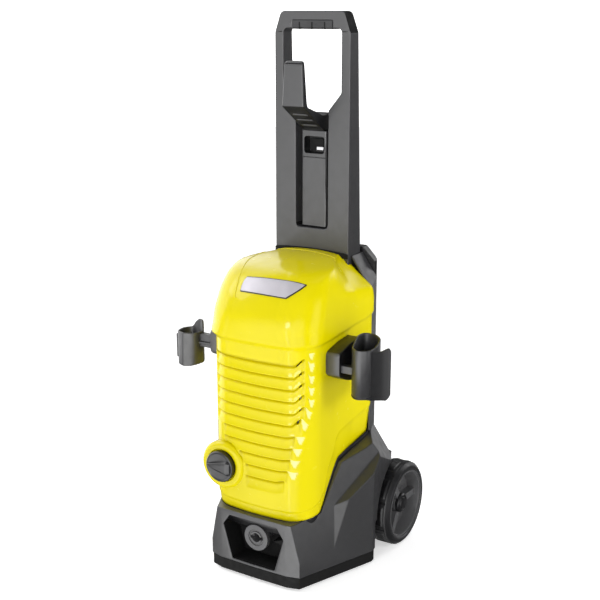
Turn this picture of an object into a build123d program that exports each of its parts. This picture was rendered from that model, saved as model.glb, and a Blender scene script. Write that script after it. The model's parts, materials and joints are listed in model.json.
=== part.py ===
"""Upright electric pressure washer on two wheels, with a sliding handle, in millimetres.

+Z is up and the front faces -Y. The origin lies on the floor under the middle of the machine.
"""

import os

from build123d import *

# Overall sizes
TOTAL_HEIGHT = 883
INLET_REAR = 163
HOLDER_REACH = 199

# Walls and gaps
WALL = 3
SEAM = 0.4
RUNNING_GAP = 0.05

# Base
TRAY_BOTTOM = 4
TRAY_TOP = 24
BASE_PLAN = [(0, -160), (62, -159), (84, -153), (139, -13), (130, 66), (104, 118), (92, 125)]
BASE_SIDE = [(-172, 112), (-148, 112), (-101, 118), (-76, 151), (-48, 187), (-4, 197), (35, 211)]
BASE_REAR = [(78, 213), (86, 152), (126, 146)]
WINDOW = [(44, 103), (57, 85), (40, 28)]

# Wheels
WHEEL_Y = 85
WHEEL_RADIUS = 72
TYRE_INNER = 58
TYRE_IN_X = 113
TYRE_OUT_X = 151
WELL_X = 107
WELL_RADIUS = 80
AXLE_RADIUS = 6

# Yellow front shell
SHELL_PLAN = [(0, -152), (92, -149), (94, -60), (98, -10), (107, 30)]
SHELL_CORNER = 46
SHELL_REAR = 30
CAP_LIP = 4
CAP_FRONT_Z = 400
CAP_REAR_Z = 430
CAP_SIDE = [(20, 507.5), (-60, 507), (-100, 501), (-119, 492), (-141, 464), (-149, 446), (-160, 430)]
CAP_FRONT = [(0, 509), (70, 507), (88, 494), (100, 472), (108, 440), (111, 400)]
LOUVRE_TOP = 368
LOUVRE_PITCH = 19.25
LOUVRE_LEFT = [-88] * 6 + [-59, -59, -30, -19, -19]
LOUVRE_RIGHT = [79] * 6 + [68, 63, 59, 55, 49]
LOUVRE_DEPTH = 1.5

# Sliding handle
MAST_FRONT = 20
MAST_HALF = 68
MAST_BOTTOM = 470
MAST_DEPTH_TOP = 25
MAST_DEPTH_LOW = 41
MAST_WALL = 3.2
BODY_TOP = 507
OPENING = [(52, 857), (52, 760), (29.5, 733), (29.5, 545)]
RAIL_X = (36, 62)
RAIL_Y = (MAST_FRONT + MAST_WALL, 49.2)
RAIL_Z = (240, 540)

# Hose hook and catch
PADDLE_TOP = 810
HOOK_HALF = 19.5
PANEL_HALF = 23
POCKET_X = (-18, 19)
POCKET_Z = (664, 691)

# Switch knob
KNOB_X = -60
KNOB_Z = 184
KNOB_RADIUS = 25.5
KNOB_FRONT = -168
BOSS_RADIUS = 40

# High-pressure outlet
OUTLET_Z = 71
OUTLET_FRONT = -150
OUTLET_BORE = 7.5

# Motor and pump stand on one upright axis
MOTOR_Y = -62
MOTOR_RADIUS = 56
SHAFT_RADIUS = 8

# Side holders
HOLDER_Y = -84
LANCE_X = -170
LANCE_RADIUS = 21
LANCE_BORE = 17.5

TURN = {"x": Rot(0, 90, 0), "y": Rot(-90, 0, 0), "z": Rot(0, 0, 0)}
AXES = {"x": (1, 0, 0), "y": (0, 1, 0), "z": (0, 0, 1)}


def place(axis, along, across):
    """A point given by its place along one axis and its two other coordinates in X, Y, Z order."""
    point = list(across)
    point.insert("xyz".index(axis), along)
    return tuple(point)


def outline(axis, points, along=0):
    """Flat face from a closed run of points, square to the axis."""
    return make_face(Polyline(*[place(axis, along, p) for p in points], close=True))


def prism(axis, points, low, high):
    """Solid of one outline, from low to high along the axis."""
    return extrude(outline(axis, points, low), high - low, dir=AXES[axis])


def block(x, y, z):
    """Box from its two limits along each axis."""
    middle = Pos(sum(x) / 2, sum(y) / 2, sum(z) / 2)
    return middle * Box(x[1] - x[0], y[1] - y[0], z[1] - z[0])


def rod(axis, across, radius, low, high):
    """Round bar along the axis."""
    return Pos(*place(axis, (low + high) / 2, across)) * TURN[axis] * Cylinder(radius, high - low)


def tube(axis, across, outer, inner, low, high):
    """Round tube along the axis."""
    return rod(axis, across, outer, low, high) - rod(axis, across, inner, low, high)


def both_sides(points):
    """Closed outline from its right half, which starts and ends at or beside the middle line."""
    left = [(-a, b) for a, b in reversed(points) if a > 0]
    return points + left


def shave(solid, corners, inset, inside):
    """Cuts the solid by the plane through three corners, moved inwards, and keeps the inside's part."""
    a, b, c = (Vector(*p) for p in corners)
    normal = (b - a).cross(c - a).normalized()
    if (Vector(*inside) - a).dot(normal) > 0:
        normal = normal * -1
    cut = Plane(origin=a - normal * inset, z_dir=normal)
    return split(solid, bisect_by=cut, keep=Keep.BOTTOM)


def shave_both(solid, corners, inset):
    """The same cut on the right side and on the left."""
    for side in (1, -1):
        mirrored = [(side * x, y, z) for x, y, z in corners]
        solid = shave(solid, mirrored, inset, (0, 0, 60))
    return solid


# ---------------------------------------------------------------- base


def wheel_wells(margin):
    """The room around both wheels, grown by a margin."""
    wells = []
    for side in (1, -1):
        x = sorted((side * (WELL_X - margin), side * 200))
        wells.append(rod("x", (WHEEL_Y, WHEEL_RADIUS), WELL_RADIUS + margin, *x))
        wells.append(block(x, (-2 - margin, 200), (-10, WHEEL_RADIUS)))
    return Compound(children=wells)


def base_envelope(inset, low, side):
    """The base's outside, or its inside when inset is the wall's thickness."""
    plan = offset(outline("z", both_sides(BASE_PLAN), low), -inset, kind=Kind.INTERSECTION)
    whole = extrude(plan, 260 - low, dir=AXES["z"]) & prism("x", side, -150, 150)
    shelf = shave_both(whole, [(80, -144, 88), (106, -84, 84), (92, -101, 118)], inset)
    flank = shave_both(whole, [(106, -84, 84), (122, -50, 169), (92, -76, 151)], inset)
    flank = shave_both(flank, [(122, -50, 169), (141, -8, 200), (95, -4, 197)], inset)
    flank = shave_both(flank, [(141, -8, 200), (101, 42, 210), (125, 68, 165)], inset)
    whole = shave_both(shelf + flank, [(112, 30, 206), (90, 80, 205), (108, 80, 178)], inset)
    return whole - wheel_wells(inset)


def base_housing():
    """Faceted upper base with the outlet window, flaring out to cover the wheels' tops."""
    top = BASE_SIDE + BASE_REAR
    lowered = [(y - (WALL if y > 70 else 0), z - WALL) for y, z in top]
    outside = top + [(top[-1][0], TRAY_TOP), (top[0][0], TRAY_TOP)]
    inside = lowered + [(lowered[-1][0], TRAY_TOP - 4), (lowered[0][0], TRAY_TOP - 4)]
    base = base_envelope(0, TRAY_TOP, outside) - base_envelope(WALL, TRAY_TOP - 4, inside)
    base -= Pos(0, 0, 100) * extrude(shell_plan(-WALL), 200, dir=AXES["z"])
    base -= block((-94, 94), (20, 61), (150, 300))
    window = prism("y", both_sides(WINDOW), -175, -140)
    axle_hole = rod("x", (WHEEL_Y, WHEEL_RADIUS), AXLE_RADIUS + 0.1, -120, 120)
    inlet_hole = rod("y", (0, 56), 10.2, 115, 130)
    return base - window - axle_hole - inlet_hole


def base_tray():
    """Lower tray that closes the base and carries the feet."""
    plan = outline("z", both_sides(BASE_PLAN), TRAY_BOTTOM)
    outer = offset(plan, -1.5, kind=Kind.INTERSECTION)
    inner = offset(plan, -1.5 - WALL, kind=Kind.INTERSECTION)
    body = extrude(outer, TRAY_TOP - TRAY_BOTTOM, dir=AXES["z"])
    room = Pos(0, 0, WALL) * extrude(inner, TRAY_TOP, dir=AXES["z"])
    return body - wheel_wells(1.5) - (room - wheel_wells(1.5 + WALL))


def front_feet():
    """Two rubber pads under the front corners."""
    pad = block((38, 72), (-138, -122), (0, TRAY_BOTTOM))
    return pad + mirror(pad, about=Plane.YZ)


def outlet_recess():
    """Black cup behind the window, open to the front, with two ribs beside the outlet."""
    wide = both_sides([(x + 3, z + (3 if z > 60 else -2)) for x, z in WINDOW])
    narrow = both_sides([(x + 1, z + (1 if z > 60 else 0)) for x, z in WINDOW])
    cup = prism("y", wide, -154.5, -116) - prism("y", narrow, -158, -118)
    cup += prism("y", [(-16, 104), (0, 104), (-8, 86)], -138, -117)
    cup += prism("y", [(52, 76), (50, 62), (24, 66)], -138, -117)
    return cup - rod("y", (0, OUTLET_Z), 13.1, -145, -110)


def outlet_coupling():
    """Bayonet coupling for the high-pressure hose, with two key slots at its mouth."""
    collar = rod("y", (0, OUTLET_Z), 22, OUTLET_FRONT, OUTLET_FRONT + 8)
    neck = rod("y", (0, OUTLET_Z), 13, OUTLET_FRONT + 8, -112)
    groove = tube("y", (0, OUTLET_Z), 14, 10.5, OUTLET_FRONT - 1, OUTLET_FRONT + 2)
    bore = rod("y", (0, OUTLET_Z), OUTLET_BORE, OUTLET_FRONT - 1, -124)
    slots = block((-12, 12), (OUTLET_FRONT - 1, OUTLET_FRONT + 7), (OUTLET_Z - 2.5, OUTLET_Z + 2.5))
    passage = rod("y", (0, OUTLET_Z), 3, -125, -111)
    return collar + neck - groove - bore - slots - passage


# ---------------------------------------------------------------- front shell


def shell_plan(grow):
    """Plan outline of the front shell with rounded front corners."""
    half = [(x + (grow if x else 0), y - (grow if y < -100 else 0)) for x, y in SHELL_PLAN]
    face = outline("z", both_sides(half))
    corners = [v for v in face.vertices() if v.Y < -140 and abs(v.X) > 80]
    return fillet(corners, SHELL_CORNER)


def shell_envelope(inset):
    """Outside of the front shell, or its inside when inset is the wall's thickness."""
    grow = -inset
    lower = extrude(shell_plan(grow), 450, dir=AXES["z"])
    cap = extrude(shell_plan(CAP_LIP + grow), 520, dir=AXES["z"])
    tilt = Plane(origin=(0, -155, CAP_FRONT_Z + inset), z_dir=(0, CAP_FRONT_Z - CAP_REAR_Z, 180))
    cap = split(cap, bisect_by=tilt, keep=Keep.TOP)
    side = [(y + inset if y < -100 else y, z - inset) for y, z in CAP_SIDE]
    front = [(x - inset if x > 80 else x, z - inset) for x, z in CAP_FRONT]
    foot = BASE_SIDE[-2:0:-1]
    rear_foot = (SHELL_REAR, 210 + SEAM)
    if inset:
        edge = [(50, side[0][1])] + side + [(-160, 90), (50, 90)]
    else:
        edge = [(SHELL_REAR, 507.5)] + side + [(-160, 112 + SEAM)]
        edge += [(y, z + SEAM) for y, z in reversed(foot)] + [rear_foot]
    shape = both_sides(front + [(front[-1][0] + 6, 90)])
    whole = (lower + cap) & prism("x", edge, -150, 150) & prism("y", shape, -170, 60)
    return shave_both(whole, [(55, 30, 503), (107, 30, 459), (92, -60, 494)], inset)


def louvre_cuts():
    """Shallow grooves across the shell's front, shorter beside the switch."""
    skin = extrude(shell_plan(2), 400, dir=AXES["z"])
    skin -= extrude(shell_plan(-LOUVRE_DEPTH), 400, dir=AXES["z"])
    cuts = []
    for row, ends in enumerate(zip(LOUVRE_LEFT, LOUVRE_RIGHT)):
        z = LOUVRE_TOP - row * LOUVRE_PITCH
        cuts.append(skin & block(ends, (-160, -120), (z - 3, z)))
    return Compound(children=cuts)


def front_shell():
    """Glossy front cover from the base to the cap, with the switch's round boss."""
    inside = shell_envelope(WALL)
    shell = shell_envelope(0) - louvre_cuts() - inside
    shell -= block((-MAST_HALF - 0.6, MAST_HALF + 0.6), (MAST_FRONT - 0.5, 60), (180, 520))
    boss = rod("y", (KNOB_X, KNOB_Z), BOSS_RADIUS, -156, -118)
    boss = chamfer(boss.edges().filter_by(GeomType.CIRCLE).group_by(Axis.Y)[0], 5)
    dish = rod("y", (KNOB_X, KNOB_Z), KNOB_RADIUS + 1, -170, -152.5)
    spindle_hole = rod("y", (KNOB_X, KNOB_Z), 5.2, -160, -140)
    return shell + (boss - inside) - dish - spindle_hole


def badge_outline(grow):
    """Slanted plate outline, seen from the front."""
    lower = [(-33 - grow, 470 - grow), (50 + grow, 470 - grow)]
    return lower + [(72 + 2 * grow, 493 + grow), (-31 - grow, 489 + grow)]


def badge_slab(grow, lift, thickness):
    """Thin plate that follows the cap's front."""
    region = prism("y", badge_outline(grow), -200, -60)
    return (region & shell_envelope(-lift - thickness)) - shell_envelope(-lift)


def badge_backing():
    """Dark tray under the plate."""
    return badge_slab(1.2, 0.2, 1.2)


def badge_plate():
    """Plain silver plate."""
    return badge_slab(0, 1.4, 1.0)


# ---------------------------------------------------------------- rear


def rear_plan(grow):
    """Plan outline of the frame that carries the handle."""
    return both_sides([(106 - grow, SHELL_REAR + SEAM), (97 - grow, 65)])


def rear_frame():
    """Frame behind the shell, with sloping shoulders beside the handle's slot."""
    side = [(0, 505), (70, 505), (106, 455), (106, 213 + SEAM), (0, 213 + SEAM)]
    inner = [(0, 501), (68, 501), (103, 453), (103, 200), (0, 200)]
    outer_body = extrude(outline("z", rear_plan(0)), 520, dir=AXES["z"])
    outer_body &= prism("y", both_sides(side), 0, 90)
    room = block((-120, 120), (0, 62), (150, 520)) & prism("y", both_sides(inner), 0, 90)
    room &= extrude(outline("z", both_sides([(103, 0), (103, SHELL_REAR), (94, 65)])), 520, dir=AXES["z"])
    slot = block((-MAST_HALF - 0.6, MAST_HALF + 0.6), (0, 61.6), (150, 520))
    holes = [rod("y", (x, z), 2.1, 60, 70) for x, z in cover_screw_places()]
    return outer_body - room - slot - Compound(children=holes)


def cover_screw_places():
    """Where the rear cover is screwed on."""
    return [(x, z) for z in (245, 350, 455) for x in (-82, 82)]


def rear_cover():
    """Dark column at the back, hollow and open towards the frame."""
    y = (65.4, 80)
    upright = block((-92, 92), y, (213 + SEAM, 514))
    upright = chamfer(upright.edges().filter_by(Axis.Y).group_by(Axis.Z)[-1], 22)
    upright = fillet(upright.edges().filter_by(Axis.Z).group_by(Axis.Y)[-1], 8)
    room = block((-88, 88), (y[0] - 1, y[1] - WALL), (217, 495))
    room = chamfer(room.edges().filter_by(Axis.Y).group_by(Axis.Z)[-1], 18)
    bosses = [rod("y", (x, z), 5, y[0], y[1] - WALL) for x, z in cover_screw_places()]
    holes = [rod("y", (x, z), 2.1, 60, 85) for x, z in cover_screw_places()]
    heads = [rod("y", (x, z), 4.1, 77, 85) for x, z in cover_screw_places()]
    vents = [block((-40, 40), (70, 90), (z, z + 5)) for z in range(330, 430, 14)]
    gland_hole = rod("y", (-55, 245), 8.1, 70, 90)
    cuts = Compound(children=holes + heads + vents)
    return upright - room + Compound(children=bosses) - cuts - gland_hole


def cover_screws():
    """Screws that hold the rear cover on the frame."""
    screws = []
    for x, z in cover_screw_places():
        screws.append(rod("y", (x, z), 2, 58, 77) + rod("y", (x, z), 4, 77, 79.5))
    return Compound(children=screws)


def cable_gland():
    """Bushing where the mains lead would enter."""
    bush = rod("y", (-55, 245), 8, 74, 80) + rod("y", (-55, 245), 11, 80, 84)
    return bush + rod("y", (-55, 245), 7, 84, 98) - rod("y", (-55, 245), 4, 70, 100)


def handle_guide(side):
    """Guide that a handle rail slides in."""
    x = sorted((side * (RAIL_X[0] - 5), side * (RAIL_X[1] + 5)))
    inner = sorted((side * (RAIL_X[0] - 0.5), side * (RAIL_X[1] + 0.5)))
    body = block(x, (RAIL_Y[0] - 4, 62), (216, 286))
    return body - block(inner, (RAIL_Y[0] - 0.5, RAIL_Y[1] + 0.5), (200, 300))


# ---------------------------------------------------------------- handle


def mast_plan():
    """Front outline of the handle: a frame with the hand opening and the channel below it."""
    outer = both_sides([(0, MAST_BOTTOM), (MAST_HALF, MAST_BOTTOM), (MAST_HALF, 851), (57, TOTAL_HEIGHT)])
    inner = both_sides([(0, OPENING[-1][1])] + OPENING[::-1])
    frame = outline("y", outer, MAST_FRONT)
    hole = outline("y", inner, MAST_FRONT)
    top = [v for v in hole.vertices() if v.Z > 850]
    low = [v for v in hole.vertices() if v.Z < 550]
    shoulder = [v for v in frame.vertices() if v.Z > 850]
    return fillet(shoulder, 9) - fillet(top + low, 7)


def trim_rear(solid):
    """Cuts the handle's back so that it grows thinner towards the top."""
    top = MAST_FRONT + MAST_DEPTH_TOP
    low = MAST_FRONT + MAST_DEPTH_LOW
    corners = [(0, top, TOTAL_HEIGHT), (9, top, TOTAL_HEIGHT), (0, low, BODY_TOP)]
    return shave(solid, corners, 0, (0, MAST_FRONT, 700))


def mast_solid(inset):
    """The handle's outer shape, or that shape drawn in by an inset."""
    face = mast_plan()
    if inset:
        face = offset(face, -inset, kind=Kind.INTERSECTION)
    return trim_rear(extrude(face, MAST_DEPTH_LOW, dir=AXES["y"]))


def mast_screw_places():
    """Screws through the handle's back."""
    return [(x, z) for z in (600, 800) for x in (-60, 60)]


def grip_room():
    """Space in the top bar that the soft grip fills."""
    return block((-36, 36), (MAST_FRONT - 1, 60), (854, 869))


def mast_frame():
    """Handle moulding, open at its back and at the rails' ends."""
    frame = mast_solid(0)
    room = Pos(0, MAST_WALL, 0) * mast_solid(MAST_WALL)
    room += block((RAIL_X[0] - 1, RAIL_X[1] + 1), RAIL_Y, (460, 480))
    room += block((-RAIL_X[1] - 1, -RAIL_X[0] + 1), RAIL_Y, (460, 480))
    bosses = Compound(children=[rod("y", p, 4, MAST_FRONT + 2, 44) for p in mast_screw_places()])
    holes = Compound(children=[rod("y", p, 1.6, MAST_FRONT + 6, 50) for p in mast_screw_places()])
    return frame - room - grip_room() + bosses - holes


def mast_back():
    """Cover that closes the handle's back."""
    body = mast_solid(MAST_WALL + 0.1)
    skin = body - Pos(0, -2.5, 0) * body
    holes = Compound(children=[rod("y", p, 4.5, 30, 70) for p in mast_screw_places()])
    return skin - grip_room() - holes


def mast_screws():
    """Screws of the handle's back cover."""
    screws = [rod("y", p, 1.55, 32, 44) + rod("y", p, 4, 44, 47) for p in mast_screw_places()]
    return Compound(children=screws)


def handle_rail(side):
    """Rectangular metal tube that guides the handle inside the body."""
    x = sorted((side * RAIL_X[0], side * RAIL_X[1]))
    room = (x[0] + 1.5, x[1] - 1.5)
    return block(x, RAIL_Y, RAIL_Z) - block(room, (RAIL_Y[0] + 1.5, RAIL_Y[1] - 1.5), (200, 600))


def grip_insert():
    """Soft grip under the top bar, with three finger notches."""
    grip = block((-35.8, 35.8), (MAST_FRONT - 0.4, 45.8), (855.5, 868.8))
    grip = fillet(grip.edges().filter_by(Axis.X).group_by(Axis.Z)[0], 4)
    notches = [block((x - 1, x + 1), (MAST_FRONT - 2, 50), (850, 858)) for x in (-18, 0, 18)]
    return grip - Compound(children=notches)


def channel_panel():
    """Spine inside the handle's channel, with the catch's pocket."""
    spine = block((-29.3, 29.3), (38, 47), (545.1, 728))
    spine = fillet(spine.edges().filter_by(Axis.Y).group_by(Axis.Z)[0], 7.2)
    raised = block((-PANEL_HALF, PANEL_HALF), (27, 38), (547, 700))
    raised = fillet(raised.edges().filter_by(Axis.Z).group_by(Axis.Y)[0], 3)
    seam = block((-30, 30), (20, 27.8), (657.4, 658.2))
    pocket = block(POCKET_X, (20, 45), POCKET_Z)
    pocket = fillet(pocket.edges().filter_by(Axis.Y), 5)
    return spine + raised - seam - pocket


def hose_hook():
    """Hook for the coiled hose: a rising arm with an upright paddle."""
    rear = 38
    side = [(rear, 700), (27, 700), (-37, 742), (-35, 805), (-32, PADDLE_TOP), (-28, PADDLE_TOP)]
    side += [(-25, 745), (-21, 740), (20, 727), (rear, 727)]
    hook = prism("x", side, -HOOK_HALF, HOOK_HALF)
    top_edges = hook.edges().filter_by(Axis.Y).group_by(Axis.Z)[-1]
    hook = fillet(top_edges, 5)
    grooves = [prism("x", [(y, z - 6), (y + 2, z - 6), (y + 2, z + 3), (y, z + 3)], -14, 14)
               for y, z in ((12, 710), (-2, 719), (-16, 728))]
    return hook - Compound(children=grooves)


def handle_catch():
    """Button in the panel's pocket that frees the handle."""
    button = block((-13, 13), (36, 40.5), (668, 687))
    return fillet(button.edges().filter_by(Axis.Y), 3)


def latch_tongue():
    """Bright latch strip on the button."""
    return block((1, 13), (34, 36), (669, 674))


def catch_spring():
    """Return spring behind the button."""
    return tube("y", (0, 677.5), 4, 3, 40.5, 45)


# ---------------------------------------------------------------- side holders


def bracket(side):
    """Mount for a holder on the shell's flank."""
    profile = [(-90, 347), (-90, 380), (-60, 388), (-26, 393), (-26, 324), (-60, 328)]
    x = sorted((side * 80, side * 117))
    arm = block(sorted((side * 116, side * 137)), (-86, -74), (350, 362))
    body = prism("x", profile, *x) + arm
    if side < 0:
        body += block((-150, -116), (-87, -75), (349, 371))
    return body - shell_envelope(-0.2)


def lance_holder():
    """Round socket for the lance, with a raised lip behind and a fin outside."""
    centre = (LANCE_X, HOLDER_Y)
    body = rod("z", centre, LANCE_RADIUS, 316, 374)
    body = chamfer(body.edges().filter_by(GeomType.CIRCLE).group_by(Axis.Z)[0], 4)
    fin = prism("z", [(-HOLDER_REACH, -82), (-HOLDER_REACH, -79), (-172, -64), (-176, -100)], 320, 366)
    lip = tube("z", centre, LANCE_RADIUS, LANCE_BORE, 370, 390)
    lip &= block((-186, -148), (-72, -50), (366, 392))
    boss = block((-151, -146), (-90, -72), (345, 374))
    bore = rod("z", centre, LANCE_BORE, 300, 400)
    return body + fin + lip + boss - bore - bracket(-1)


def gun_holder():
    """Open pocket for the spray gun, with a swept wing outside."""
    pocket = [(137, -84), (122, -42), (124, -25), (142, -26)]
    pocket += [(158, -42), (166, -66), (164, -88), (150, -99)]
    face = outline("z", pocket, 318)
    face = fillet(face.vertices(), 5)
    walls = face - offset(face, -3)
    wing = [(163, -88), (166, -70), (176, -68), (HOLDER_REACH, -79)]
    wing += [(HOLDER_REACH, -83), (178, -73), (169, -78)]
    body = extrude(walls, 78, dir=AXES["z"])
    body += prism("z", wing, 314, 398)
    return body - bracket(1)


# ---------------------------------------------------------------- switch


def switch_knob():
    """Round switch with a raised grip bar."""
    centre = (KNOB_X, KNOB_Z)
    disc = rod("y", centre, KNOB_RADIUS, -162, -153)
    bar = block((KNOB_X - 24, KNOB_X + 24), (KNOB_FRONT, -162), (KNOB_Z - 7, KNOB_Z + 7))
    bar = bar & rod("y", centre, KNOB_RADIUS - 0.5, -175, -150)
    bar = chamfer(bar.edges().filter_by(Axis.X).group_by(Axis.Y)[0], 3)
    return disc + bar


def knob_spindle():
    """Shaft from the knob into the switch."""
    return rod("y", (KNOB_X, KNOB_Z), 4, -153, -122)


def switch_box():
    """Mains switch behind the shell."""
    box = block((-78, -40), (-130, -108), (164, 204))
    return box - rod("y", (KNOB_X, KNOB_Z), 4 + RUNNING_GAP, -150, -121)


# ---------------------------------------------------------------- wheels


def wheel_turned(points, side):
    """Solid of revolution about the axle, from a section of (distance from the middle, radius)."""
    section = make_face(Polyline(*[(side * x, 0, r) for x, r in points], close=True))
    return Pos(0, WHEEL_Y, WHEEL_RADIUS) * revolve(section, Axis.X)


def tyre(side):
    """Tyre with a chamfered outer shoulder."""
    section = [(TYRE_IN_X, TYRE_INNER), (TYRE_IN_X, 70), (TYRE_IN_X + 2, WHEEL_RADIUS)]
    section += [(TYRE_OUT_X - 8, WHEEL_RADIUS), (TYRE_OUT_X, 66), (TYRE_OUT_X, TYRE_INNER)]
    return wheel_turned(section, side)


def rim(side):
    """Wheel disc with a hub, a rim ring and three spokes."""
    hub_inner = AXLE_RADIUS + RUNNING_GAP
    section = [(109, hub_inner), (109, 15), (121, 15), (121, 52), (115, 52), (115, TYRE_INNER)]
    section += [(149, TYRE_INNER), (149, 54), (127, 51), (127, 17), (137, 17)]
    section += [(137, 13), (133, 13), (133, hub_inner)]
    disc = wheel_turned(section, side)
    spoke = block(sorted((side * 126, side * 140)), (-6, 6), (16.8, 53))
    spokes = [Pos(0, WHEEL_Y, WHEEL_RADIUS) * Rot(a, 0, 0) * spoke for a in (30, 150, 270)]
    return disc + Compound(children=spokes)


def hub_cap(side):
    """Cap over the axle's end."""
    return wheel_turned([(137, 0), (137, 16.5), (143, 16.5), (146, 13), (146, 0)], side)


def axle():
    """Steel axle through the base, with a head at each end that keeps the wheel on."""
    pin = rod("x", (WHEEL_Y, WHEEL_RADIUS), AXLE_RADIUS, -133.5, 133.5)
    heads = [rod("x", (WHEEL_Y, WHEEL_RADIUS), 10, *x) for x in ((-135.5, -133.4), (133.4, 135.5))]
    return pin + Compound(children=heads)


# ---------------------------------------------------------------- motor and pump


def upright(outer, inner, low, high):
    """Ring or disc on the motor's axis."""
    body = rod("z", (0, MOTOR_Y), outer, low, high)
    return body - rod("z", (0, MOTOR_Y), inner, low, high) if inner else body


def piston_places():
    """The three pistons' axes, round the motor's axis."""
    return [Vector(26, 0, 0).rotate(Axis.Z, a) + Vector(0, MOTOR_Y, 0) for a in (90, 210, 330)]


def pump_head():
    """Valve block at the bottom, with its inlet behind and its outlet in front."""
    return block((-34, 34), (-98, -28), (44, 92))


def pump_block():
    """Cylinder block with three bores."""
    bores = [rod("z", (p.X, p.Y), 7.1, 96, 160) for p in piston_places()]
    return upright(42, 0, 92, 150) - Compound(children=bores)


def pistons():
    """Three plungers."""
    return Compound(children=[rod("z", (p.X, p.Y), 7, 100, 168) for p in piston_places()])


def piston_springs():
    """Return springs round the plungers."""
    return Compound(children=[tube("z", (p.X, p.Y), 11, 9, 150, 165) for p in piston_places()])


def gear_housing():
    """Housing of the wobble plate, under the motor."""
    return upright(MOTOR_RADIUS, 0, 150, 208) - upright(44, 0, 149, 198) - upright(20, 0, 190, 210)


def wobble_plate():
    """Slanted plate on the shaft that drives the plungers."""
    disc = upright(36, SHAFT_RADIUS, 172, 190)
    lean = Plane(origin=(0, MOTOR_Y, 174), z_dir=(0.12, 0, 1))
    return split(disc, bisect_by=lean, keep=Keep.TOP)


def motor_casing():
    """Steel tube around the stator."""
    return upright(MOTOR_RADIUS, MOTOR_RADIUS - 3, 208, 345)


def stator():
    """Laminated stator."""
    return upright(MOTOR_RADIUS - 3, 33, 222, 322)


def rotor_core():
    """Laminated rotor on the shaft."""
    return upright(32, SHAFT_RADIUS, 226, 318)


def end_shield():
    """Upper end plate that holds a bearing."""
    return upright(MOTOR_RADIUS, 18, 345, 356)


def bearings():
    """The shaft's two ball bearings, each as one ring with running clearance."""
    bore = SHAFT_RADIUS + RUNNING_GAP
    rings = [upright(outer, bore, low, low + 10) for outer, low in ((20, 198), (18, 346))]
    return Compound(children=rings)


def cooling_fan():
    """Radial fan on the shaft's upper end."""
    hub = upright(14, SHAFT_RADIUS, 360, 378) + upright(46, SHAFT_RADIUS, 360, 363)
    blade = block((13, 45), (-1, 1), (363, 378))
    blades = [Pos(0, MOTOR_Y, 0) * Rot(0, 0, a) * blade for a in range(0, 360, 45)]
    return hub + Compound(children=blades)


def capacitor():
    """Motor run capacitor beside the casing."""
    return rod("z", (62, -112), 18, 250, 330)


def capacitor_saddle():
    """Clamp between the casing and the capacitor."""
    body = block((32, 54), (-112, -88), (280, 300))
    return body - upright(MOTOR_RADIUS, 0, 270, 310) - rod("z", (62, -112), 18, 270, 310)


def outlet_pipe():
    """Short steel pipe from the valve block to the coupling."""
    return tube("y", (0, OUTLET_Z), 8, 3, -112, -98)


def inlet_pipe():
    """Low-pressure pipe from the water inlet to the valve block."""
    return tube("y", (0, 56), 7, 5, -28, 118)


def unloader_valve():
    """Valve that stops the pump when the trigger closes."""
    return rod("x", (-62, 68), 11, 34, 64) + rod("x", (-62, 68), 7, 64, 72)


def water_inlet():
    """Hose tail at the back."""
    tail = rod("y", (0, 56), 10, 118, 128) + rod("y", (0, 56), 18, 125.2, 131)
    tail += rod("y", (0, 56), 13, 131, 145) + rod("y", (0, 56), 10.5, 145, INLET_REAR)
    return tail - rod("y", (0, 56), 6, 100, 180)


def inlet_filter():
    """Fine strainer in the water inlet."""
    return tube("y", (0, 56), 5.9, 4.5, 124, 150)


def motor_buffers():
    """Rubber buffers between the valve block and the tray."""
    places = [(x, y) for x in (-24, 24) for y in (-88, -38)]
    return Compound(children=[rod("z", p, 8, TRAY_BOTTOM + WALL, 44) for p in places])


# ---------------------------------------------------------------- writing


def sides(name, make):
    """Left and right copies of a sub-part."""
    return {name + "_right": make(1), name + "_left": make(-1)}


def all_parts():
    """Every sub-part by its node name."""
    parts = {
        "base_housing": base_housing(),
        "base_tray": base_tray(),
        "front_feet": front_feet(),
        "outlet_recess": outlet_recess(),
        "outlet_coupling": outlet_coupling(),
        "front_shell": front_shell(),
        "badge_backing": badge_backing(),
        "badge_plate": badge_plate(),
        "rear_frame": rear_frame(),
        "rear_cover": rear_cover(),
        "cover_screws": cover_screws(),
        "cable_gland": cable_gland(),
        "mast_frame": mast_frame(),
        "mast_back": mast_back(),
        "mast_screws": mast_screws(),
        "grip_insert": grip_insert(),
        "channel_panel": channel_panel(),
        "hose_hook": hose_hook(),
        "lance_holder": lance_holder(),
        "gun_holder": gun_holder(),
        "switch_knob": switch_knob(),
        "knob_spindle": knob_spindle(),
        "switch_box": switch_box(),
        "axle": axle(),
        "pump_head": pump_head(),
        "pump_block": pump_block(),
        "pistons": pistons(),
        "piston_springs": piston_springs(),
        "gear_housing": gear_housing(),
        "wobble_plate": wobble_plate(),
        "motor_shaft": rod("z", (0, MOTOR_Y), SHAFT_RADIUS, 174, 380),
        "motor_casing": motor_casing(),
        "stator": stator(),
        "rotor_core": rotor_core(),
        "end_shield": end_shield(),
        "bearings": bearings(),
        "cooling_fan": cooling_fan(),
        "capacitor": capacitor(),
        "capacitor_saddle": capacitor_saddle(),
        "outlet_pipe": outlet_pipe(),
        "inlet_pipe": inlet_pipe(),
        "unloader_valve": unloader_valve(),
        "water_inlet": water_inlet(),
        "inlet_filter": inlet_filter(),
        "motor_buffers": motor_buffers(),
        "handle_catch": handle_catch(),
        "latch_tongue": latch_tongue(),
        "catch_spring": catch_spring(),
    }
    parts.update(sides("tyre", tyre))
    parts.update(sides("rim", rim))
    parts.update(sides("hub_cap", hub_cap))
    parts.update(sides("handle_rail", handle_rail))
    parts.update(sides("handle_guide", handle_guide))
    parts.update(sides("bracket", bracket))
    return parts


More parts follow.
